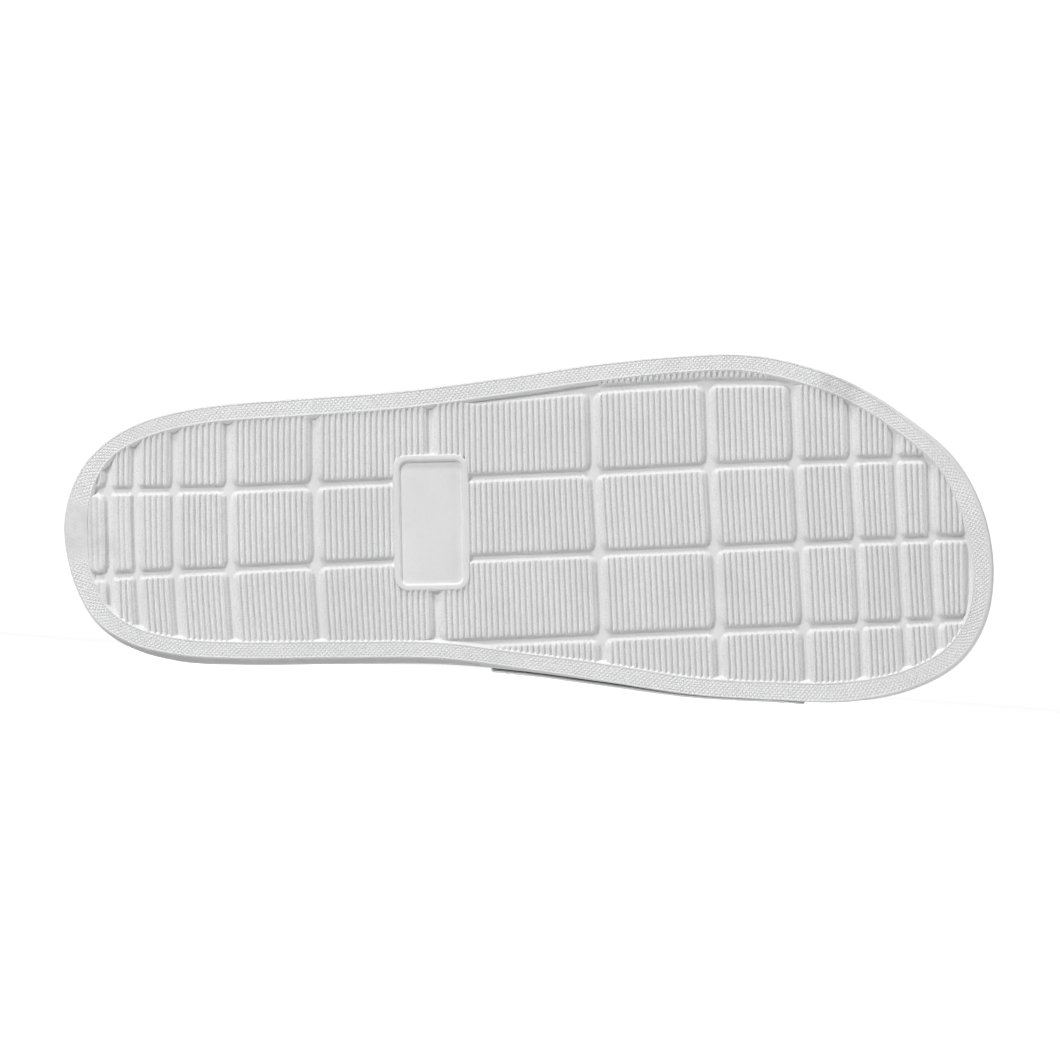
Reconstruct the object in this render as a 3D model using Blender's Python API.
"""Right sport slide sandal: a moulded sole unit, a footbed and one broad strap.

Every mesh is drawn in the shoe's own frame: X runs from heel to toe, Y from the ground through
the sole to the instep, and Z from the big toe's side, called inner, to the outer side. The slide
lies on its inner side, sole edge and strap both on the floor, with the tread facing -Y. An empty
turns it by the slope of the line that it lies on, and lifts it to the floor.
"""
import math

import bmesh
import bpy
import numpy as np
from mathutils import Vector
from mathutils.geometry import delaunay_2d_cdt

# Driving sizes, in metres
SOLE_LENGTH = 0.285
BALL_WIDTH = 0.1055
HEEL_HEIGHT = 0.0205
TOE_SPRING = 0.009
HEEL_SPRING = 0.0010
CLEARANCE = 0.0003

# Where the springs begin and where the shoe balances, as shares of SOLE_LENGTH
TOE_SPRING_SHARE = 0.74
HEEL_SPRING_SHARE = 0.07
BALANCE_SHARE = 0.48

# Rim and side wall of the sole
RIM_WIDTH = 0.0058
RIM_SIDE = 0.0030
RIM_ROUND = 0.0007
GROOVE_DEPTH = 0.0006
GROOVE_HEIGHT = 0.0010
WALL_FLARE = 0.0018
WALL_ROUND = 0.0009

# Tread
TREAD_DEPTH = 0.0020
CHANNEL_WIDTH = 0.00285
BLOCK_CORNER = 0.0024
PLATE_LENGTH = 0.0226
PLATE_WIDTH = 0.0413
PLATE_FRAME = 0.0016
PLATE_DEPTH = 0.0012
PLATE_LEAN = math.radians(1.1)

# Footbed
FOOTBED_THICKNESS = 0.0050
FOOTBED_LIP = 0.0024
LIP_REACH = 0.013
ARCH_RISE = 0.0040
ARCH_MIDDLE_SHARE = 0.42
ARCH_REACH_SHARE = 0.20
ARCH_SIDE_SHARE = 0.385

# Strap
STRAP_EDGE = 0.0015
STRAP_PADDING = 0.0032
STRAP_CORNER = 0.0070
STRAP_INNER_FOOT = 0.0085
STRAP_OUTER_FOOT = 0.0120
INSTEP_HEIGHT = 0.0680
INSTEP_POWER = 2.7
INSTEP_SKEW_SHARE = 0.11

# How finely the curves are cut
STATIONS = 112
OUTLINE_STEPS = 24
TIP_CROWDING = 0.045
CORNER_STEPS = 2
SHARP_TURN = math.radians(35)

# Sole outline at the ground, from the heel's tip along the outer side to the toe and back.
# along: share of SOLE_LENGTH. across: share of BALL_WIDTH, outer side positive.
# rim: share of RIM_WIDTH. flare: share of WALL_FLARE that the wall stands out past the rim.
OUTLINE = (
    # along, across, rim, flare
    (0.000, -0.009, 1.31, 0.15),
    (0.004, 0.087, 1.21, 0.10),
    (0.018, 0.177, 1.05, 0.10),
    (0.043, 0.252, 0.90, 0.10),
    (0.083, 0.314, 0.93, 0.10),
    (0.148, 0.357, 0.95, 0.10),
    (0.241, 0.380, 1.01, 0.10),
    (0.361, 0.404, 1.01, 0.00),
    (0.468, 0.441, 0.99, -0.45),
    (0.572, 0.482, 0.98, -0.45),
    (0.661, 0.504, 0.93, -0.45),
    (0.725, 0.509, 0.92, -0.40),
    (0.779, 0.488, 1.00, 0.00),
    (0.844, 0.429, 1.00, 0.05),
    (0.909, 0.322, 1.00, 0.05),
    (0.958, 0.209, 1.10, 0.05),
    (0.988, 0.064, 1.26, 0.05),
    (1.000, -0.110, 1.21, 0.05),
    (0.991, -0.272, 1.16, 0.05),
    (0.962, -0.388, 1.19, 0.05),
    (0.908, -0.466, 1.19, 0.00),
    (0.838, -0.499, 1.15, -0.10),
    (0.763, -0.493, 1.03, -0.28),
    (0.672, -0.477, 1.00, -0.17),
    (0.575, -0.438, 1.03, 0.05),
    (0.489, -0.403, 0.95, 0.30),
    (0.403, -0.374, 0.95, 0.90),
    (0.296, -0.372, 0.97, 1.00),
    (0.189, -0.374, 0.98, 1.00),
    (0.124, -0.364, 0.98, 1.00),
    (0.071, -0.330, 1.01, 0.60),
    (0.034, -0.264, 1.03, 0.25),
    (0.011, -0.154, 1.07, 0.12),
)

# Height of the sole's wall under the footbed, as shares of HEEL_HEIGHT
WALL_HEIGHTS = (
    # along, height
    (0.00, 1.02),
    (0.15, 1.00),
    (0.40, 0.93),
    (0.68, 0.72),
    (1.00, 0.63),
)

# Channels that run across the tread: share of SOLE_LENGTH at four places across the ball width
CROSS_PLACES = (0.40, 0.16, -0.10, -0.40)
CROSS_CHANNELS = (
    # name, outer rim, outer channel, inner channel, inner rim
    ("heel 1", 0.0490, 0.0480, 0.0500, 0.0540),
    ("heel 2", 0.0770, 0.0760, 0.0780, 0.0850),
    ("heel 3", 0.1190, 0.1180, 0.1190, 0.1265),
    ("heel 4", 0.1755, 0.1760, 0.1780, 0.1855),
    ("heel 5", 0.2680, 0.2680, 0.2705, 0.2780),
    ("plate", 0.3925, 0.3940, 0.3980, 0.4015),
    ("ball 1", 0.5660, 0.5685, 0.5740, 0.5790),
    ("ball 2", 0.6900, 0.6930, 0.6985, 0.7040),
    ("ball 3", 0.7820, 0.7855, 0.7910, 0.7970),
    ("toe 1", 0.8440, 0.8465, 0.8520, 0.8570),
    ("toe 2", 0.8910, 0.8930, 0.8980, 0.9045),
    ("toe 3", 0.9285, 0.9300, 0.9325, 0.9400),
)
TOE_BLOCK_END_SHARE = 0.9690

# Channels that run along the tread: rows of along and across shares
LONG_CHANNELS = {
    "outer edge": ((0.000, 0.600), (0.300, 0.470), (0.440, 0.378), (0.559, 0.406), (0.680, 0.4275),
                   (0.775, 0.430), (0.860, 0.470), (1.000, 0.600)),
    "outer": ((0.000, 0.112), (0.190, 0.121), (0.353, 0.142), (0.577, 0.168), (0.700, 0.187),
              (0.870, 0.206), (1.000, 0.215)),
    "inner": ((0.000, -0.140), (0.098, -0.1245), (0.355, -0.090), (0.562, -0.068), (0.697, -0.052),
              (0.875, -0.029), (1.000, -0.016)),
    "inner edge": ((0.000, -0.600), (0.200, -0.450), (0.380, -0.334), (0.565, -0.310),
                   (0.692, -0.293), (0.879, -0.271), (1.000, -0.250)),
}
FAR_ACROSS_SHARE = 0.70
PLATE_ALONG_SHARE = 0.394
PLATE_ACROSS_SHARE = 0.022

# Height of the instep over the ground, as shares of INSTEP_HEIGHT
INSTEP = (
    # along, height
    (0.38, 1.04),
    (0.46, 0.98),
    (0.60, 0.85),
    (0.74, 0.72),
    (0.84, 0.65),
)

# Rear and front edge of the strap, from its inner foot over the instep to its outer foot
STRAP_EDGES = (
    # share around, rear along, front along
    (0.00, 0.457, 0.794),
    (0.25, 0.462, 0.801),
    (0.50, 0.455, 0.795),
    (0.75, 0.430, 0.768),
    (1.00, 0.410, 0.742),
)
STRAP_ROUND_SHARES = (0.0, 0.012, 0.035, 0.07)
STRAP_AROUND_SHARES = (0.0, 0.006, 0.017, 0.032, 0.055)
PADDING_SHARES = (0.11, 0.24)


def column(table, index):
    return np.array([row[index] for row in table], float)


def through(keys, values, at):
    """A smooth curve through a short table (cubic Hermite with finite-difference slopes)."""
    keys, values = np.asarray(keys, float), np.asarray(values, float)
    slopes = np.gradient(values, keys)
    at = np.clip(at, keys[0], keys[-1])
    i = np.clip(np.searchsorted(keys, at, side="right") - 1, 0, len(keys) - 2)
    span = keys[i + 1] - keys[i]
    t = (at - keys[i]) / span
    return ((2 * t**3 - 3 * t**2 + 1) * values[i] + (t**3 - 2 * t**2 + t) * span * slopes[i]
            + (3 * t**2 - 2 * t**3) * values[i + 1] + (t**3 - t**2) * span * slopes[i + 1])


def smooth(t):
    t = np.clip(t, 0.0, 1.0)
    return t * t * (3 - 2 * t)


def level(x):
    """Height of the ground side of the sole: flat from heel to ball, then the toe spring."""
    toe = np.clip((x / SOLE_LENGTH - TOE_SPRING_SHARE) / (1 - TOE_SPRING_SHARE), 0, 1)
    heel = np.clip(1 - x / (SOLE_LENGTH * HEEL_SPRING_SHARE), 0, 1)
    return TOE_SPRING * toe**2 + HEEL_SPRING * heel**2


def wall_height(x):
    return HEEL_HEIGHT * through(column(WALL_HEIGHTS, 0), column(WALL_HEIGHTS, 1), x / SOLE_LENGTH)


def closed_curve(points, steps):
    """Centripetal curve through a closed ring of rows, sampled between the first two columns."""
    rows = np.asarray(points, float)
    n = len(rows)
    sampled = []
    for i in range(n):
        p0, p1, p2, p3 = (rows[(i + k) % n] for k in (-1, 0, 1, 2))
        d1, d2, d3 = (math.hypot(*(b - a)[:2]) ** 0.5 for a, b in ((p0, p1), (p1, p2), (p2, p3)))
        m1 = (p1 - p0) / d1 - (p2 - p0) / (d1 + d2) + (p2 - p1) / d2
        m2 = (p2 - p1) / d2 - (p3 - p1) / (d2 + d3) + (p3 - p2) / d3
        for k in range(steps):
            t = k / steps
            sampled.append((2 * t**3 - 3 * t**2 + 1) * p1 + (t**3 - 2 * t**2 + t) * d2 * m1
                           + (3 * t**2 - 2 * t**3) * p2 + (t**3 - t**2) * d2 * m2)
    return np.array(sampled)


class Outline:
    """Stations round the sole: station 0 at the heel's tip, the middle one at the toe's tip."""

    def __init__(self):
        rows = np.array(OUTLINE)
        rows[:, 0] *= SOLE_LENGTH
        rows[:, 1] *= BALL_WIDTH
        dense = closed_curve(rows, OUTLINE_STEPS)
        toe = int(np.argmax(dense[:, 0]))
        half = STATIONS // 2
        outer = self.even(dense[:toe + 1], half)
        inner = self.even(np.vstack([dense[toe:], dense[:1]]), half)
        table = np.vstack([outer[:-1], inner[:-1]])
        self.point = table[:, :2]
        tangent = np.roll(self.point, -1, 0) - np.roll(self.point, 1, 0)
        tangent /= np.linalg.norm(tangent, axis=1)[:, None]
        self.normal = np.column_stack([-tangent[:, 1], tangent[:, 0]])
        self.rim = RIM_WIDTH * table[:, 2]
        self.flare = WALL_FLARE * table[:, 3]

    @staticmethod
    def even(rows, count):
        """The same curve cut into pieces of one length, closer together at its two tips."""
        run = np.concatenate([[0], np.cumsum(np.linalg.norm(np.diff(rows[:, :2], axis=0), axis=1))])
        share = np.linspace(0, 1, count + 1)
        share = share - TIP_CROWDING * np.sin(2 * math.pi * share)
        return np.column_stack([np.interp(share * run[-1], run, rows[:, k])
                                for k in range(rows.shape[1])])

    def ring(self, offset):
        return self.point + self.normal * np.broadcast_to(offset, len(self.point))[:, None]

    def side(self, x, inner, offset):
        """Z of one side of the ring at X, away from the two tips."""
        ring = self.ring(offset)
        half = STATIONS // 2
        part = ring[half + 2:-1][::-1] if inner else ring[2:half - 1]
        return float(np.interp(x, part[:, 0], part[:, 1]))


def new_object(name, bm, material):
    bmesh.ops.recalc_face_normals(bm, faces=bm.faces)
    mesh = bpy.data.meshes.new(name)
    bm.to_mesh(mesh)
    bm.free()
    mesh.materials.append(material)
    mesh.shade_smooth()
    mesh.set_sharp_from_angle(angle=math.radians(32))
    obj = bpy.data.objects.new(name, mesh)
    bpy.context.collection.objects.link(obj)
    return obj


def principled(name, colour, roughness):
    material = bpy.data.materials.new(name)
    material.use_nodes = True
    shader = material.node_tree.nodes["Principled BSDF"]
    shader.inputs["Base Color"].default_value = (*colour, 1)
    shader.inputs["Roughness"].default_value = roughness
    shader.inputs["Metallic"].default_value = 0.0
    return material


def add_ring(bm, plan, heights):
    return [bm.verts.new((x, y, z)) for (x, z), y in zip(plan, heights)]


def bridge(bm, ring_a, ring_b):
    n = len(ring_a)
    for i in range(n):
        j = (i + 1) % n
        bm.faces.new((ring_a[i], ring_a[j], ring_b[j], ring_b[i]))


def cover(bm, ring, across_shares, height_at):
    """Closes a ring of stations with rows that run from the outer side to the inner side."""
    n = len(ring)
    rows = []
    for i in range(1, n // 2):
        a, b = ring[i], ring[n - i]
        inside = []
        for share in across_shares:
            place = a.co.lerp(b.co, share)
            place.y = height_at(place.x, place.z, a.co, b.co)
            inside.append(bm.verts.new(place))
        rows.append([a, *inside, b])
    for one, two in zip(rows, rows[1:]):
        for k in range(len(one) - 1):
            bm.faces.new((one[k], two[k], two[k + 1], one[k + 1]))
    for tip, row in ((ring[0], rows[0]), (ring[n // 2], rows[-1])):
        for k in range(len(row) - 1):
            bm.faces.new((tip, row[k], row[k + 1]))


def clip(polygon, start, end):
    """The part of a closed polygon on the left of the line from start to end."""
    edge = end - start
    kept = []
    for a, b in zip(polygon, polygon[1:] + polygon[:1]):
        side_a = edge[0] * (a[1] - start[1]) - edge[1] * (a[0] - start[0])
        side_b = edge[0] * (b[1] - start[1]) - edge[1] * (b[0] - start[0])
        if side_a >= 0:
            kept.append(a)
        if (side_a > 0 > side_b) or (side_a < 0 < side_b):
            kept.append(a + (b - a) * side_a / (side_a - side_b))
    return kept


def area(polygon):
    p = np.array(polygon)
    q = np.roll(p, -1, 0)
    return 0.5 * float(np.sum(p[:, 0] * q[:, 1] - p[:, 1] * q[:, 0]))


def rounded(polygon, radius):
    """Cuts each real corner of a polygon back to an arc."""
    result = []
    n = len(polygon)
    for i in range(n):
        a, p, b = polygon[i - 1], polygon[i], polygon[(i + 1) % n]
        to_a, to_b = a - p, b - p
        len_a, len_b = np.linalg.norm(to_a), np.linalg.norm(to_b)
        turn = math.pi - math.acos(float(np.clip(to_a @ to_b / (len_a * len_b), -1, 1)))
        if turn < SHARP_TURN:
            result.append(p)
            continue
        back = min(radius * math.tan(turn / 2), 0.45 * len_a, 0.45 * len_b)
        start, end = p + to_a * back / len_a, p + to_b * back / len_b
        for k in range(CORNER_STEPS + 1):
            t = k / CORNER_STEPS
            result.append((1 - t)**2 * start + 2 * t * (1 - t) * p + t**2 * end)
    return result


def cross_line(row, across):
    """Plan place of a cross channel's middle at a share across the ball width."""
    along = np.interp(-across, [-v for v in CROSS_PLACES], row[1:])
    return np.array([along * SOLE_LENGTH, across * BALL_WIDTH])


def long_line(name, x):
    table = LONG_CHANNELS[name]
    return float(np.interp(x / SOLE_LENGTH, column(table, 0), column(table, 1))) * BALL_WIDTH


def meeting(cross, long_name):
    """Where a cross channel meets a long channel, or a line far outside the sole."""
    if long_name in ("outside", "inside"):
        across = FAR_ACROSS_SHARE if long_name == "outside" else -FAR_ACROSS_SHARE
        return cross_line(cross, across)
    across = 0.0
    for _ in range(6):
        place = cross_line(cross, across)
        across = long_line(long_name, place[0]) / BALL_WIDTH
    return cross_line(cross, across)


def block_quads():
    """Corners of every tread block before the rim cuts it, each pulled back by half a channel."""
    ends = [("heel end", *[-0.10] * 4), *CROSS_CHANNELS, ("toe end", *[1.10] * 4)]
    plate = ("plate middle", *[PLATE_ALONG_SHARE] * 4)
    toe_block = ("toe block end", *[TOE_BLOCK_END_SHARE] * 4)
    names = [row[0] for row in ends]
    plain, toe_closed = list(ends), list(ends[:-1]) + [toe_block]
    through_plate = [plate if row[0] == "plate" else row for row in ends]
    ball = names.index("ball 1")
    rows = (
        ("outside", "outer edge", ends[ball:ball + 3]),
        ("outer edge", "outer", plain),
        ("outer", "inner", through_plate),
        ("inner", "inner edge", toe_closed),
        ("inner edge", "inside", ends[names.index("plate"):]),
    )
    half = CHANNEL_WIDTH / 2
    solid_ends = {"heel end", "toe end", "plate middle"}
    for top, bottom, crossings in rows:
        for left, right in zip(crossings, crossings[1:]):
            pull_l = 0.0 if left[0] in solid_ends else half
            pull_r = 0.0 if right[0] in solid_ends else half
            pull_t = 0.0 if top == "outside" else half
            pull_b = 0.0 if bottom == "inside" else half
            yield [
                meeting(left, bottom) + (pull_l, pull_b),
                meeting(right, bottom) + (-pull_r, pull_b),
                meeting(right, top) + (-pull_r, -pull_t),
                meeting(left, top) + (pull_l, -pull_t),
            ]


def tread_blocks(outline):
    """Block outlines in plan, reaching under the middle of the rim."""
    limit = list(outline.ring(-outline.rim / 2)[::-1])
    for quad in block_quads():
        shape = limit
        for start, end in zip(quad, quad[1:] + quad[:1]):
            shape = clip(shape, start, end)
            if len(shape) < 3:
                break
        if len(shape) >= 3 and area(shape) > CHANNEL_WIDTH**2 / 2:
            yield rounded(shape, BLOCK_CORNER)


def plate_outline(length, width, radius):
    """Rounded rectangle in the arch, turned by the plate's lean."""
    middle = np.array([PLATE_ALONG_SHARE * SOLE_LENGTH, PLATE_ACROSS_SHARE * BALL_WIDTH])
    turn = np.array([[math.cos(PLATE_LEAN), -math.sin(PLATE_LEAN)],
                     [math.sin(PLATE_LEAN), math.cos(PLATE_LEAN)]])
    corners = [np.array(c) for c in ((-length / 2, -width / 2), (length / 2, -width / 2),
                                     (length / 2, width / 2), (-length / 2, width / 2))]
    return [middle + turn @ c for c in rounded(corners, radius)]


def tread_surface(bm, outline, edge_ring):
    """The ground side inside the rim's edge: rim, blocks and plate frame high, channels low."""
    plan, faces = [], []

    def add(polygon):
        start = len(plan)
        plan.extend(Vector(p) for p in polygon)
        faces.append(list(range(start, len(plan))))
        return len(faces) - 1

    n = len(edge_ring)
    whole = add([(v.co.x, v.co.z) for v in reversed(edge_ring)])
    field = add(outline.ring(-outline.rim)[::-1])
    frame = add(plate_outline(PLATE_LENGTH, PLATE_WIDTH, BLOCK_CORNER + PLATE_FRAME))
    plate = add(plate_outline(PLATE_LENGTH - 2 * PLATE_FRAME, PLATE_WIDTH - 2 * PLATE_FRAME,
                              BLOCK_CORNER))
    high = {frame, *(add(block) for block in tread_blocks(outline))}
    places, _, cells, source, _, owners = delaunay_2d_cdt(plan, [], faces, 0, 1e-7)

    depth_of = {"high": 0.0, "low": TREAD_DEPTH, "plate": PLATE_DEPTH}
    made = {}

    def corner(index, kind):
        if (index, kind) not in made:
            rim_station = [k for k in source[index] if k < n] if kind == "high" else []
            x, z = places[index]
            made[index, kind] = (edge_ring[n - 1 - rim_station[0]] if rim_station
                                 else bm.verts.new((x, level(x) + depth_of[kind], z)))
        return made[index, kind]

    kind_of_edge = {}
    for cell, owner in zip(cells, owners):
        owner = set(owner)
        if whole not in owner:
            continue
        kind = "high"
        if plate in owner:
            kind = "plate"
        elif field in owner and not owner & high:
            kind = "low"
        bm.faces.new([corner(index, kind) for index in cell])
        for a, b in zip(cell, cell[1:] + cell[:1]):
            kind_of_edge[a, b] = kind
    for (a, b), kind in kind_of_edge.items():
        other = kind_of_edge.get((b, a), kind)
        if a < b and kind != other:
            bm.faces.new((corner(a, kind), corner(a, other), corner(b, other), corner(b, kind)))


def build_sole(outline):
    bm = bmesh.new()
    flare = outline.flare
    groove = np.minimum(flare, 0) - GROOVE_DEPTH
    low = RIM_SIDE + GROOVE_HEIGHT
    tall = wall_height(outline.point[:, 0])
    sections = (
        (-RIM_ROUND, 0.0),
        (0.0, RIM_ROUND),
        (0.0, RIM_SIDE),
        (groove, RIM_SIDE + GROOVE_HEIGHT / 3),
        (groove, low),
        (flare, low + WALL_ROUND),
        (flare, tall - WALL_ROUND),
        (flare - WALL_ROUND, tall),
    )
    rings = []
    for offset, height in sections:
        plan = outline.ring(offset)
        rings.append(add_ring(bm, plan, level(plan[:, 0]) + height))
    for one, two in zip(rings, rings[1:]):
        bridge(bm, one, two)
    tread_surface(bm, outline, rings[0])
    cover(bm, rings[-1], (0.25, 0.5, 0.75), lambda x, z, a, b: level(x) + wall_height(x))
    return new_object("sole", bm, principled("white_foam", (0.72, 0.72, 0.72), 0.55))


def footbed_top(x, z, outer, inner):
    """Dish: high at the edge, low in the middle, with a rise under the arch on the inner side."""
    to_edge = min(math.dist((x, z), (outer.x, outer.z)), math.dist((x, z), (inner.x, inner.z)))
    base = level(x) + wall_height(x) + CLEARANCE + FOOTBED_THICKNESS
    arch = (smooth(1 - abs(x / SOLE_LENGTH - ARCH_MIDDLE_SHARE) / ARCH_REACH_SHARE)
            * smooth(-z / (BALL_WIDTH * ARCH_SIDE_SHARE)))
    return base + FOOTBED_LIP * (1 - smooth(to_edge / LIP_REACH)) + ARCH_RISE * arch


def build_footbed(outline):
    bm = bmesh.new()
    side = outline.flare - CLEARANCE
    x = outline.point[:, 0]
    floor = wall_height(x) + CLEARANCE
    edge = floor + FOOTBED_THICKNESS + FOOTBED_LIP
    sections = (
        (side - WALL_ROUND, floor),
        (side, floor + WALL_ROUND),
        (side, edge - WALL_ROUND),
        (side - WALL_ROUND, edge),
    )
    rings = [add_ring(bm, outline.ring(o), level(outline.ring(o)[:, 0]) + h) for o, h in sections]
    for one, two in zip(rings, rings[1:]):
        bridge(bm, one, two)
    cover(bm, rings[0], (0.25, 0.5, 0.75),
          lambda x, z, a, b: level(x) + wall_height(x) + CLEARANCE)
    cover(bm, rings[-1], (0.03, 0.07, 0.13, 0.22, 0.36, 0.5, 0.64, 0.78, 0.87, 0.93, 0.97),
          footbed_top)
    return new_object("footbed", bm, principled("white_footbed", (0.74, 0.74, 0.74), 0.65))


def instep_section(outline, x):
    """Outer face of the strap at X, from its inner foot up the wall, over the foot and down."""
    inner = outline.side(x, True, outline.flare + CLEARANCE + STRAP_EDGE)
    outer = outline.side(x, False, outline.flare + CLEARANCE + STRAP_EDGE)
    middle, half = (inner + outer) / 2, (outer - inner) / 2
    ground = level(x)
    shoulder = ground + wall_height(x) + CLEARANCE + FOOTBED_THICKNESS + FOOTBED_LIP
    top = INSTEP_HEIGHT * through(column(INSTEP, 0), column(INSTEP, 1), x / SOLE_LENGTH)
    angle = np.linspace(0, math.pi, 97)
    bow = np.abs(np.sin(angle)) ** (2 / INSTEP_POWER)
    reach = np.sign(np.cos(angle)) * np.abs(np.cos(angle)) ** (2 / INSTEP_POWER)
    z = middle - half * reach - INSTEP_SKEW_SHARE * half * bow**2
    y = shoulder + (top - shoulder) * bow
    y = np.concatenate([[ground + STRAP_INNER_FOOT], y, [ground + STRAP_OUTER_FOOT]])
    z = np.concatenate([[inner], z, [outer]])
    run = np.concatenate([[0], np.cumsum(np.hypot(np.diff(y), np.diff(z)))])
    return run, y, z


def strap_grid(outline):
    """Outer face of the strap, and its thickness, as a grid from rear to front and around.

    The padding thickens it inward from above the footbed, so its outer face stays upright.
    """
    around = np.array([*STRAP_AROUND_SHARES, *np.linspace(0.09, 0.91, 19),
                       *(1 - s for s in reversed(STRAP_AROUND_SHARES))])
    along = np.array([*STRAP_ROUND_SHARES, *np.linspace(0.14, 0.86, 7),
                      *(1 - s for s in reversed(STRAP_ROUND_SHARES))])
    keys = column(STRAP_EDGES, 0)
    places = np.empty((len(along), len(around), 3))
    for j, share in enumerate(around):
        rear, front = (SOLE_LENGTH * through(keys, column(STRAP_EDGES, k), share) for k in (1, 2))
        total = instep_section(outline, (rear + front) / 2)[0][-1]
        to_foot = min(share, 1 - share) * total
        short = STRAP_CORNER - to_foot
        cut = STRAP_CORNER - math.sqrt(STRAP_CORNER**2 - short**2) if short > 0 else 0.0
        for i, part in enumerate(along):
            x = rear + cut + (front - rear - 2 * cut) * part
            run, y, z = instep_section(outline, x)
            places[i, j] = (x, np.interp(share * run[-1], run, y), np.interp(share * run[-1], run, z))
    to_foot = np.minimum(around, 1 - around)
    padded = smooth((to_foot - PADDING_SHARES[0]) / (PADDING_SHARES[1] - PADDING_SHARES[0]))
    thick = STRAP_EDGE + (STRAP_PADDING - STRAP_EDGE) * padded
    return places, np.broadcast_to(thick, places.shape[:2])


def build_strap(outline):
    outside, thick = strap_grid(outline)
    inward = np.cross(np.gradient(outside, axis=0), np.gradient(outside, axis=1))
    inward /= np.linalg.norm(inward, axis=2)[:, :, None]
    rows, columns = thick.shape
    soft = np.ones(rows)
    soft[[0, -1]] = 0.35
    skin = np.zeros((2, rows, columns, 3))
    for side, share in enumerate((0.5 - 0.5 * soft, 0.5 + 0.5 * soft)):
        skin[side] = outside + inward * (thick * share[:, None])[:, :, None]
    bm = bmesh.new()
    grid = [[[bm.verts.new(p) for p in row] for row in face] for face in skin]
    for face in grid:
        for i in range(rows - 1):
            for j in range(columns - 1):
                bm.faces.new((face[i][j], face[i + 1][j], face[i + 1][j + 1], face[i][j + 1]))
    border = ([(i, 0) for i in range(rows)] + [(rows - 1, j) for j in range(1, columns)]
              + [(i, columns - 1) for i in reversed(range(rows - 1))]
              + [(0, j) for j in reversed(range(1, columns - 1))])
    bridge(bm, [grid[0][i][j] for i, j in border], [grid[1][i][j] for i, j in border])
    return new_object("strap", bm, principled("white_strap", (0.70, 0.70, 0.70), 0.50))


def lower_edge(points):
    """Lower side of the convex outline of plan points, from left to right."""
    hull = []
    for p in sorted(points):
        while len(hull) > 1 and ((hull[-1][0] - hull[-2][0]) * (p[1] - hull[-2][1])
                                 <= (hull[-1][1] - hull[-2][1]) * (p[0] - hull[-2][0])):
            hull.pop()
        hull.append(p)
    return hull


def lay_down(pieces):
    """Turns the shoe on its inner side until the line under its balance point is level."""
    corners = [v.co for piece in pieces for v in piece.data.vertices]
    hull = lower_edge({(c.x, c.z) for c in corners})
    balance = SOLE_LENGTH * BALANCE_SHARE
    left, right = next((a, b) for a, b in zip(hull, hull[1:]) if a[0] <= balance < b[0])
    slope = math.atan2(right[1] - left[1], right[0] - left[0])
    lying = bpy.data.objects.new("lying_place", None)
    bpy.context.collection.objects.link(lying)
    lying.rotation_euler = (0, slope, 0)
    turned = [lying.rotation_euler.to_matrix() @ c for c in corners]
    low = [min(c[k] for c in turned) for k in range(3)]
    high = [max(c[k] for c in turned) for k in range(3)]
    lying.location = (-(low[0] + high[0]) / 2, -(low[1] + high[1]) / 2, -low[2])
    for piece in pieces:
        piece.parent = lying


def main():
    for obj in list(bpy.data.objects):
        bpy.data.objects.remove(obj, do_unlink=True)
    outline = Outline()
    lay_down([build_sole(outline), build_footbed(outline), build_strap(outline)])


main()
